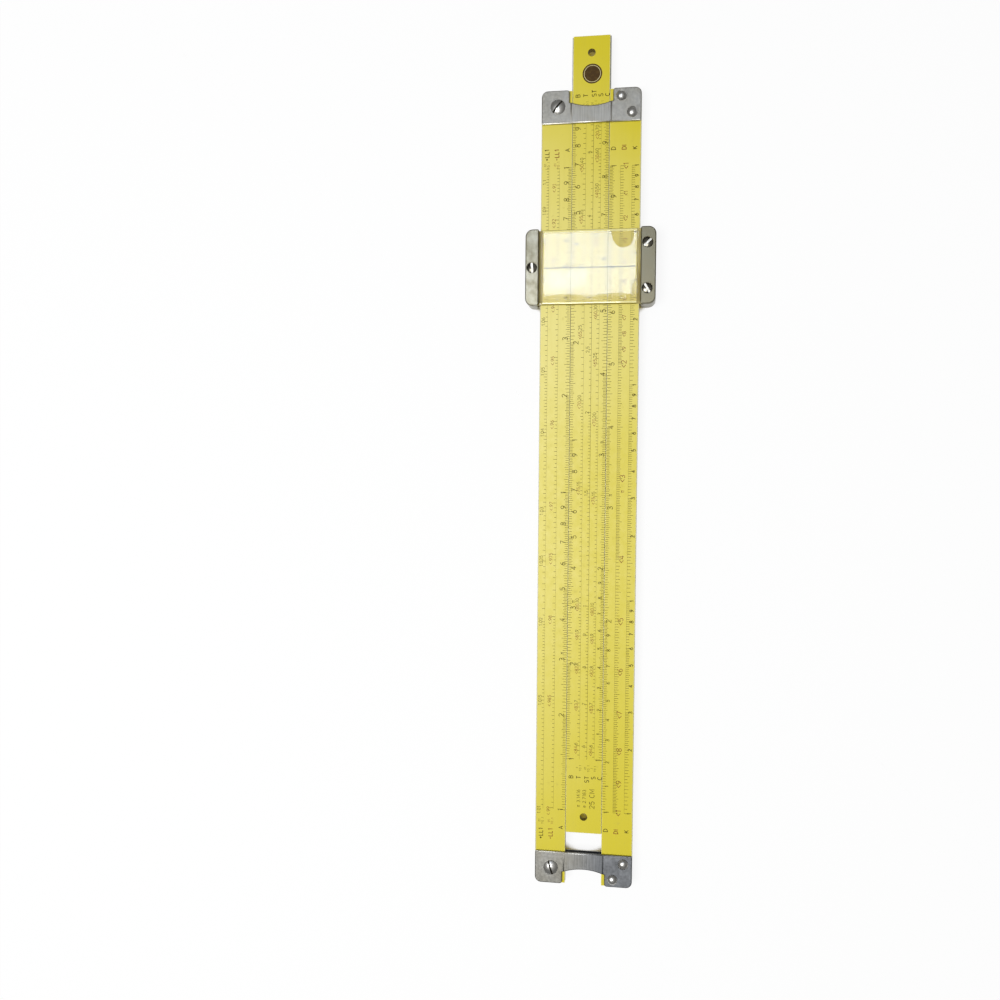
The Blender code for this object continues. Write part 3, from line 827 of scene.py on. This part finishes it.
def make_window(node, face):
    """A clear plate with a raised field between two flanges, and a fine line across its inner face."""
    low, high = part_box(node)
    half_x = (high.x - low.x) / 2
    half_y = (high.y - low.y) / 2
    inner, outer = sorted((abs(low.z - centre_z), abs(high.z - centre_z)))
    outer -= 2 * window_wave
    flange_outer = inner + flange_thickness
    radius = window_edge_radius

    def mirrored(middle, half, side=()):
        """Places from one rounded edge to the other, half a width from the middle."""
        side = [*side, half - radius, half - radius / 3, half]
        return [-place for place in reversed(side)] + middle + side

    field = [field_half * (2 * i / window_across_steps - 1) for i in range(window_across_steps + 1)]
    rows = mirrored(field, half_y, [field_half + field_side_width * s for s in field_side_shares])
    shares = [2 * i / window_along_steps - 1 for i in range(1, window_along_steps)]
    columns = mirrored([(half_x - radius) * share for share in shares], half_x)

    def eased(distance, width):
        """From 0 at an edge to 1 past the width, as a rounded corner."""
        share = min(1, max(0, distance / width))
        return math.sqrt(1 - (1 - share) ** 2)

    def droop(x, y):
        """How far one corner of the sheet has sagged."""
        across = min(1, abs(y - droop_start[1]) / droop_half_width)
        along = min(1, max(0, (x - droop_start[0]) / droop_length - droop_round * across**2))
        return droop_depth * along * (1 - across**4)

    def outer_height(x, y):
        edge_x = eased(half_x - abs(x), radius)
        edge_y = eased(half_y - abs(y), radius)
        crown = 1 - (y / field_half) ** 2
        ripple = math.sin(x * 2 * math.pi / window_wave_length + window_wave_phase)
        ripple *= math.cos(y * 2 * math.pi / window_wave_length)
        field = outer - window_crown + window_crown * crown + window_wave * ripple
        rise = eased(field_half + field_side_width - abs(y), field_side_width)
        height = flange_outer + (field - flange_outer) * rise
        return height - radius * (1 - min(edge_x, edge_y)) - droop(x, y)

    work = bmesh.new()
    top = [[work.verts.new((x, y, outer_height(x, y))) for y in rows] for x in columns]
    bottom = [[work.verts.new((x, y, inner - droop(x, y))) for y in rows] for x in columns]
    for i in range(len(columns) - 1):
        for j in range(len(rows) - 1):
            work.faces.new((top[i][j], top[i + 1][j], top[i + 1][j + 1], top[i][j + 1]))
            work.faces.new((bottom[i][j], bottom[i][j + 1], bottom[i + 1][j + 1], bottom[i + 1][j]))
    for i in range(len(columns) - 1):
        work.faces.new((bottom[i][0], bottom[i + 1][0], top[i + 1][0], top[i][0]))
        work.faces.new((bottom[i + 1][-1], bottom[i][-1], top[i][-1], top[i + 1][-1]))
    for j in range(len(rows) - 1):
        work.faces.new((bottom[0][j + 1], bottom[0][j], top[0][j], top[0][j + 1]))
        work.faces.new((bottom[-1][j], bottom[-1][j + 1], top[-1][j + 1], top[-1][j]))
    set_down(work.verts, low, high, face)
    mesh = worked_mesh(node + "_fine", work)
    mesh.shade_smooth()
    mesh.set_sharp_from_angle(angle=window_sharp_angle)
    mesh.materials.append(clear_plastic)
    add_piece(node + "_fine", mesh, "cursor", node)
    line_x = hairline_width / 2
    line_y = field_half - hairline_inset / 2
    hairline = box_mesh(
        node + "_hairline", (-line_x, -line_y, inner - hairline_thickness), (line_x, line_y, inner)
    )
    set_down(hairline.vertices, low, high, face)
    hairline.materials.append(hair_ink)
    add_piece(node + "_hairline", hairline, "cursor")


class Nodes:
    """A node tree, with short ways to add nodes and join them."""

    def __init__(self, tree):
        self.tree = tree

    def add(self, kind, inputs=None, **settings):
        node = self.tree.nodes.new(kind)
        for key, value in settings.items():
            setattr(node, key, value)
        for key, value in (inputs or {}).items():
            self.feed(node.inputs[key], value)
        return node

    def feed(self, socket, value):
        """A link, a value, or a colour's red, green and blue."""
        if isinstance(value, bpy.types.NodeSocket):
            self.tree.links.new(value, socket)
        else:
            socket.default_value = (*value, 1) if socket.type == "RGBA" else value

    def math(self, operation, a, b=0, clamp=False):
        return self.add("ShaderNodeMath", {0: a, 1: b}, operation=operation, use_clamp=clamp).outputs[0]

    def times(self, a, b):
        return self.math("MULTIPLY", a, b)

    def apart(self, value, middle):
        """How far the value is from the middle, either way."""
        return self.math("ABSOLUTE", self.math("SUBTRACT", value, middle))

    def ramp(self, value, low, high, low_out=0, high_out=1, kind="LINEAR"):
        """The value taken from one range to another, and held at its ends."""
        inputs = {"Value": value, "From Min": low, "From Max": high, "To Min": low_out, "To Max": high_out}
        return self.add("ShaderNodeMapRange", inputs, interpolation_type=kind).outputs[0]

    def eased(self, value, low, high, low_out=0, high_out=1):
        return self.ramp(value, low, high, low_out, high_out, "SMOOTHSTEP")

    def mix(self, share, a, b):
        return self.add("ShaderNodeMix", {0: share, 6: a, 7: b}, data_type="RGBA").outputs[2]

    def place(self):
        return self.add("ShaderNodeTexCoord").outputs["Object"]

    def split(self, vector):
        return tuple(self.add("ShaderNodeSeparateXYZ", {0: vector}).outputs)

    def noise(self, scale, detail=3, stretch=(1, 1, 1)):
        """Noise over the object's own place, with its scale per metre and stretched along the axes."""
        mapping = self.add("ShaderNodeMapping", {"Vector": self.place(), "Scale": stretch})
        inputs = {"Vector": mapping.outputs[0], "Scale": scale, "Detail": detail}
        return self.add("ShaderNodeTexNoise", inputs).outputs[0]


class Shader(Nodes):
    """A material's nodes, around its one surface shader."""

    def __init__(self, name):
        self.material = bpy.data.materials.new(name)
        self.material.use_nodes = True
        super().__init__(self.material.node_tree)
        self.surface = self.tree.nodes["Principled BSDF"]

    def set(self, **inputs):
        """Values for the surface's inputs, with base_color for Base Color and so on."""
        for key, value in inputs.items():
            self.feed(self.surface.inputs[key.replace("_", " ").title().replace("Ior", "IOR")], value)

    def bump(self, height, distance, strength=1):
        inputs = {"Height": height, "Distance": distance, "Strength": strength}
        self.feed(self.surface.inputs["Normal"], self.add("ShaderNodeBump", inputs).outputs[0])

    def share_surface(self, share, other):
        """The other shader takes the place of the surface in the given share."""
        both = self.add("ShaderNodeMixShader", {0: share, 1: self.surface.outputs[0], 2: other})
        self.feed(self.tree.nodes["Material Output"].inputs["Surface"], both.outputs[0])


def make_enamel():
    """Satin yellow enamel over dark bare aluminium (patina and painted shade): paled by a painted sheen
    along the middle and towards +Y, rubbed through along its edges, with painted light at the seams."""
    s = Shader("yellow_enamel_worn")
    x, y, z = s.split(s.place())
    depth = s.apart(z, centre_z)
    side = s.apart(y, centre_y)
    facing = s.add("ShaderNodeNewGeometry").outputs["True Normal"]
    slope = s.math("ABSOLUTE", s.split(facing)[2])
    chips = s.noise(1500, 4)
    fine = s.noise(420, 4)
    chipped = s.times(s.ramp(chips, 0.35, 0.7), chip_depth)
    sheltered = s.eased(side, *wear_end, 0, seam_cover)
    edge = s.math("ADD", chipped, sheltered)
    bare_below = s.math("SUBTRACT", half_thickness - paint_margin, edge)
    painted = s.times(s.math("GREATER_THAN", depth, bare_below), s.ramp(slope, 0.3, 0.5))
    # Painted sheen: the colour is mixed towards its palest along the middle of the rule and more towards +Y,
    # in place of a broad reflection. The cloud adds a random tone.
    sheen_tilt = s.times(s.eased(x, *sheen_tilt_start), s.eased(x, *sheen_tilt_end))
    middle = s.times(s.eased(x, *sheen_start, 0, 0.62), s.eased(x, *sheen_end))
    across = s.ramp(y, *sheen_tilt_across, -0.12, 0.22)
    sheen_and_mottle = s.math("ADD", middle, s.times(sheen_tilt, across))
    cloud = s.noise(60)
    sheen_and_mottle = s.math("ADD", sheen_and_mottle, s.ramp(cloud, 0.3, 0.7, -0.05, 0.05), True)
    # The second colour here is the enamel under the full painted sheen.
    faded = s.mix(sheen_and_mottle, (0.665, 0.562, 0.003), (0.825, 0.735, 0.225))
    streaks = s.noise(900, 3, (0.05, 1, 1))
    # aged holds the painted sheen's colour with darker streaks; the thin edges and the painted seam light
    # are mixed in below.
    aged = s.mix(s.ramp(streaks, 0.45, 0.8, 0, 0.1), faded, (0.5, 0.42, 0.04))
    rubbed = s.math("ADD", side, s.ramp(chips, 0.3, 0.7, -thin_spread, thin_spread))
    thin = s.eased(rubbed, *thin_edge, 0, 0.6)
    aged = s.mix(thin, aged, (0.55, 0.53, 0.36))
    # Painted light: the chamfers and walls at the seams take a paler colour, so that they look lit.
    painted_seam_light = s.times(s.eased(slope, 0.98, 0.9), s.eased(side, *wear_end))
    aged = s.mix(painted_seam_light, aged, (0.96, 0.88, 0.36))
    specks = s.mix(s.ramp(fine, 0.66, 0.78, 0, 0.3), aged, (0.42, 0.34, 0.04))
    # Bare aluminium where the enamel is missing, darker than bare aluminium is: partly patina, partly a
    # painted shade on the side walls.
    metal = s.mix(s.ramp(fine, 0.3, 0.7), (0.5, 0.49, 0.44), (0.33, 0.32, 0.27))
    s.set(
        base_color=s.mix(painted, metal, specks),
        metallic=s.math("SUBTRACT", 1, painted),
        roughness=s.ramp(fine, 0.2, 0.8, 0.36, 0.46),
    )
    s.bump(s.math("ADD", s.noise(2600, 2), s.times(painted, 3)), 0.0000035)
    return s.material


def make_bracket_steel():
    """Steel brushed along the rule across the bridge and scuffed all ways on the lobes. A painted shade
    darkens the -Y half of the left end and cools its tint."""
    s = Shader("bracket_steel_brushed")
    x, y = s.split(s.place())[:2]
    bridge = s.eased(s.apart(y, centre_y), *bridge_edge, 1, 0)
    streaks = s.noise(2400, 3, (0.05, 1, 1))
    scuffs = s.noise(1100, 4)
    clouds = s.noise(170)
    grain = s.mix(bridge, s.ramp(scuffs, 0.3, 0.7, 0.35, 0.45), s.ramp(streaks, 0.3, 0.7, 0.31, 0.47))
    # Painted shade: the steel at the left end is darkened, most towards -Y, and tinted cooler, in place of a
    # dimmer reflection.
    painted_dimming = s.eased(y, *reversed(painted_shade_span), 0.24, 0.46)
    painted_dimming = s.times(painted_dimming, s.ramp(x, *painted_shade_span, 1, 0))
    stains = s.ramp(clouds, 0.35, 0.7, 0, 0.14)
    dull = s.math("SUBTRACT", s.math("SUBTRACT", 1, painted_dimming), stains)
    tone = s.times(grain, dull)
    cast = s.mix(s.ramp(clouds, 0.35, 0.65), (1, 0.985, 0.91), (1.03, 0.99, 0.86))
    cast = s.mix(s.ramp(painted_dimming, 0.25, 0.44), cast, (0.96, 1, 1.06))
    base = s.add("ShaderNodeVectorMath", {0: tone, 1: cast}, operation="MULTIPLY")
    s.set(base_color=base.outputs[0], metallic=1, roughness=s.ramp(scuffs, 0.3, 0.7, 0.34, 0.44))
    scratches = s.ramp(s.noise(800, 2, (1, 0.1, 1)), 0.64, 0.7, 0, -0.4)
    s.bump(s.math("ADD", s.mix(bridge, scuffs, streaks), scratches), 0.000004, 0.7)
    return s.material


def make_satin(name, dark, light, roughness):
    """Drawn metal with a soft grain and a few dull stains, and a painted shade: darker towards -Y, lighter
    towards +Y.
    """
    s = Shader(name)
    grain = s.noise(2200, 3, (0.12, 1, 1))
    stains = s.noise(260, 4)
    shade = s.eased(s.split(s.place())[1], *painted_shade_span)
    base = s.mix(s.ramp(stains, 0.35, 0.7), s.mix(shade, dark, light), dark)
    s.set(base_color=base, metallic=1, roughness=s.ramp(stains, 0.3, 0.7, *roughness))
    s.bump(grain, 0.000004)
    return s.material


def make_polished(name, light, dark, roughness):
    """Turned steel, dulled unevenly by handling."""
    s = Shader(name)
    haze = s.noise(700)
    base = s.mix(s.ramp(haze, 0.3, 0.7), light, dark)
    s.set(base_color=base, metallic=1, roughness=s.ramp(haze, 0.3, 0.7, *roughness))
    s.bump(s.noise(4000, 2), 0.000002)
    return s.material


def make_grime():
    """Near-black painted shade for the inside of a slot, mottled."""
    s = Shader("slot_shade")
    shade_mottle = s.noise(1800, 4)
    base = s.mix(s.ramp(shade_mottle, 0.3, 0.6), (0.07, 0.065, 0.05), (0.012, 0.01, 0.006))
    s.set(base_color=base, roughness=0.75, specular_ior_level=0.15)
    s.bump(shade_mottle, 0.00002)
    return s.material


def make_ink(name, dark, faded):
    """Printed ink that has rubbed a little thin in places."""
    s = Shader(name)
    rubbed = s.noise(900, 4)
    base = s.mix(s.ramp(rubbed, 0.48, 0.75, 0, 0.8), dark, faded)
    roughness = s.ramp(rubbed, 0.3, 0.7, 0.42, 0.6)
    s.set(base_color=base, roughness=roughness, specular_ior_level=0.15)
    s.bump(s.noise(5000, 2), 0.000002)
    return s.material


def make_clear_plastic():
    """Clear plastic, yellowed by age, brown along its flanges and finely scratched, with a painted highlight
    band near each end and a painted shadow line at the very end. The light of the lamps and of what lies
    under it goes through it without bending."""
    s = Shader("clear_window_aged")
    x, y = s.split(s.place())[:2]
    flange = s.ramp(s.apart(y, centre_y), *flange_fade)
    cloud = s.noise(70)
    grime = s.noise(420, 4, (0.2, 1, 1))
    clear = s.mix(s.ramp(cloud, 0.4, 0.7), (0.98, 0.96, 0.86), (0.96, 0.92, 0.78))
    brown = s.mix(s.ramp(grime, 0.35, 0.65), (0.56, 0.48, 0.2), (0.32, 0.26, 0.09))
    low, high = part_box("cursor_front_window")
    half = (high.x - low.x) / 2
    beyond = s.apart(x, (low.x + high.x) / 2)
    # Painted highlight band near each end, and a painted shadow line at the very end, where the plastic is
    # also less clear.
    end = s.ramp(beyond, *[half - inset for inset in painted_end_band])
    rim = s.ramp(beyond, *[half - inset for inset in painted_end_shadow_band])
    ends = s.mix(rim, (0.97, 0.92, 0.45), (0.22, 0.17, 0.01))
    clearness = s.times(s.ramp(flange, 0, 1, 0.95, 0.5), s.ramp(end, 0, 1, 1, 0.4))
    s.set(
        base_color=s.mix(flange, s.mix(end, clear, ends), brown),
        transmission_weight=clearness,
        roughness=s.ramp(s.noise(500, 4), 0.4, 0.8, 0.015, 0.05),
        ior=1.49,
    )
    scratches = s.ramp(s.noise(700, 2, (1, 0.08, 1)), 0.66, 0.72)
    s.bump(scratches, 0.000003, 0.5)
    rays = s.add("ShaderNodeLightPath").outputs
    lighting = s.math("MAXIMUM", rays["Is Shadow Ray"], rays["Is Diffuse Ray"])
    through = s.add("ShaderNodeBsdfTransparent", {"Color": (0.9, 0.88, 0.78)})
    s.share_surface(lighting, through.outputs[0])
    return s.material


def make_floor_material():
    """Plain pale paper with a faint tooth. To the camera and in reflections it glows nearly white, with a
    painted dark olive shadow where the object closely covers it, over the object's real soft shadow.
    """
    s = Shader("pale_floor")
    base = s.mix(s.noise(3, 2), (0.945, 0.945, 0.945), (0.96, 0.96, 0.96))
    s.set(base_color=base, roughness=0.9, specular_ior_level=0.1)
    s.bump(s.noise(900), 0.00002)
    rays = s.add("ShaderNodeLightPath").outputs
    seen = s.math("MAXIMUM", rays["Is Camera Ray"], rays["Is Glossy Ray"])
    seen = s.math("MAXIMUM", seen, rays["Is Transmission Ray"])
    # Painted shadow: where the object closely covers the floor, its glow turns dark olive, so the emission
    # named white is not white there.
    reach = {"Distance": floor_shade_distance}
    shade = s.add("ShaderNodeAmbientOcclusion", reach, samples=floor_shade_samples)
    open_above = s.eased(shade.outputs["AO"], 0.31, 0.42)
    glow = s.mix(open_above, (0.2, 0.15, 0.008), (1, 1, 1))
    white = s.add("ShaderNodeEmission", {"Color": glow})
    s.share_surface(s.times(seen, floor_glow_share), white.outputs[0])
    return s.material


def smooth_group():
    """Geometry nodes that join a mesh's split corners and shade its gentle bends smooth, its flats flat."""
    group = bpy.data.node_groups.new("smooth_gentle_bends", "GeometryNodeTree")
    for way in ("INPUT", "OUTPUT"):
        group.interface.new_socket("Geometry", in_out=way, socket_type="NodeSocketGeometry")
    g = Nodes(group)
    upright = g.math("ABSOLUTE", g.split(g.add("GeometryNodeInputNormal").outputs[0])[2])
    level = g.math("GREATER_THAN", upright, level_normal)
    bend = g.add("GeometryNodeInputMeshEdgeAngle").outputs["Unsigned Angle"]
    steep = g.math("GREATER_THAN", bend, steep_bend)
    shape = g.add("NodeGroupInput").outputs[0]
    for kind, inputs, settings in (
        ("RemoveAttribute", {"Name": "custom_normal"}, {}),
        ("MergeByDistance", {"Distance": weld_distance}, {}),
        ("SetShadeSmooth", {"Shade Smooth": True}, {"domain": "FACE"}),
        ("SetShadeSmooth", {"Shade Smooth": False, "Selection": level}, {"domain": "FACE"}),
        ("SetShadeSmooth", {"Shade Smooth": False, "Selection": steep}, {"domain": "EDGE"}),
    ):
        shape = g.add("GeometryNode" + kind, {"Geometry": shape, **inputs}, **settings).outputs[0]
    g.feed(g.add("NodeGroupOutput").inputs[0], shape)
    return group


def dress_nodes():
    """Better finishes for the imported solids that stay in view."""
    finishes = {
        "yellow_enamel": enamel,
        "bracket_steel": bracket_steel,
        "fastener_steel": steel_bright,
        "cursor_metal": cursor_metal,
        "cursor_steel": cursor_metal,
        "spring_steel": steel_bright,
        "clear_window": clear_plastic,
    }
    smooth = smooth_group()
    for subpart in frame["record"]["subparts"]:
        piece = frame["nodes"][subpart["node"]]
        piece.material_slots[0].material = finishes[subpart["material_slot"]]
        piece.modifiers.new("smooth", "NODES").node_group = smooth


def make_floor():
    half = floor_size / 2
    corners = [(-half, -half, 0), (half, -half, 0), (half, half, 0), (-half, half, 0)]
    floor = put("floor", plain_mesh("floor", corners, [(0, 1, 2, 3)], [make_floor_material()], [0]))
    floor.location.z = cad_low.z


def make_lamp(name, place, size, power, tint):
    """A soft rectangular lamp that shines straight down."""
    lamp = bpy.data.lights.new(name, "AREA")
    lamp.shape = "RECTANGLE"
    lamp.size, lamp.size_y = size
    lamp.energy = power
    lamp.color = tint
    put(name, lamp).location = place


def make_room():
    """Dim walls under a brighter ceiling."""
    world = bpy.data.worlds.new("room")
    bpy.context.scene.world = world
    world.use_nodes = True
    s = Nodes(world.node_tree)
    height = s.split(s.add("ShaderNodeTexCoord").outputs["Generated"])[2]
    back = world.node_tree.nodes["Background"]
    s.feed(back.inputs["Color"], room_tint)
    s.feed(back.inputs["Strength"], s.eased(height, *room_overhead_from, *room_strength))


def make_camera():
    camera = bpy.data.cameras.new("camera")
    camera.sensor_width = camera_sensor
    camera.lens = camera_lens
    camera.clip_start = camera_clip_start
    piece = put("camera", camera)
    piece.location = camera_place
    piece.rotation_euler = [math.radians(a) for a in camera_turn]
    bpy.context.scene.camera = piece


enamel = make_enamel()
bracket_steel = make_bracket_steel()
# The cursor metal's two colours: its painted shade towards -Y and its lighter side towards +Y.
cursor_metal = make_satin("cursor_metal_satin", (0.178, 0.163, 0.11), (0.35, 0.335, 0.26), (0.28, 0.36))
steel_bright = make_polished("steel_bright", (0.7, 0.67, 0.59), (0.48, 0.46, 0.4), (0.28, 0.36))
steel_worn = make_polished("steel_worn", (0.6, 0.595, 0.57), (0.46, 0.45, 0.42), (0.28, 0.36))
# Painted dark reflection: the cursor screws' heads take a near-black copy of the turned steel, as if they
# mirrored dark surroundings.
steel_painted_dark = make_polished("steel_painted_dark", (0.2, 0.19, 0.155), (0.045, 0.042, 0.03), (0.16, 0.26))
# A darker copy of the turned steel for a slot's floor: painted shade in the recess.
shaded_slot_steel = make_polished("shaded_slot_steel", (0.45, 0.44, 0.41), (0.16, 0.15, 0.13), (0.35, 0.5))
slot_shade = make_grime()
clear_plastic = make_clear_plastic()
dark_ink = make_ink("dark_ink", (0.065, 0.046, 0.003), (0.24, 0.18, 0.012))
red_ink = make_ink("red_ink", (0.19, 0.035, 0.012), (0.36, 0.14, 0.04))
disc_ink = make_ink("disc_ink", (0.065, 0.034, 0.008), (0.11, 0.065, 0.014))
ring_ink = make_ink("ring_ink", (0.62, 0.55, 0.3), (0.5, 0.42, 0.2))
hair_ink = make_ink("hairline_ink", (0.02, 0.018, 0.012), (0.05, 0.04, 0.02))

make_camera()
make_room()
make_floor()
make_lamp("window_lamp", *window_lamp)
make_lamp("long_lamp", *long_lamp)
make_lamp("glow_lamp", *glow_lamp)
dress_nodes()
make_fasteners()
make_window("cursor_front_window", 1)
make_window("cursor_rear_window", -1)
draw_front_scales()
draw_rear_scales()
draw_constants()
make_disc()

bpy.context.scene.view_settings.view_transform = "Standard"
